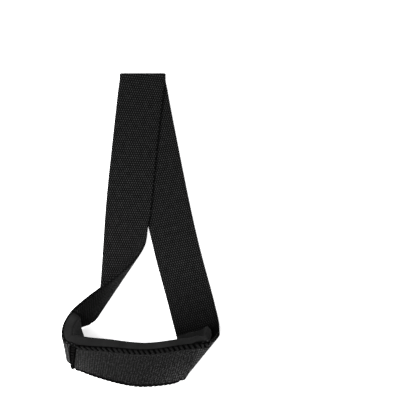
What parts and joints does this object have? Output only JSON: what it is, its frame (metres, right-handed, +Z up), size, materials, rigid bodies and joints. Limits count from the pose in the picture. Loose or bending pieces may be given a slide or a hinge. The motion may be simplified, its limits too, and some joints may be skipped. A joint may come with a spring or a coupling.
{
  "type": "lifting strap",
  "caption": "Padded wrist strap for lifting: a closed loop of flat webbing with a soft pad and a sewn cover round the wrist.",
  "frame": {"origin": "middle of the footprint, on the surface the strap lies on", "axes": "+Y from the wrist pad towards the flat folded end of the webbing, +Z up, +X towards the right leg"},
  "size_m": [0.1316, 0.2792, 0.0459],
  "materials": {
    "webbing": "black woven cotton and polyester webbing",
    "pad_foam": "black foam rubber faced with smooth knit",
    "cover_cloth": "black knitted cloth with fine ribs",
    "edging_thread": "black overlocked thread"
  },
  "bodies": {
    "root": {"webbing_strap": "webbing", "wrist_pad": "pad_foam", "outer_cover": "cover_cloth", "top_edging": "edging_thread", "bottom_edging": "edging_thread", "left_end_edging": "edging_thread"}
  },
  "joints": []
}
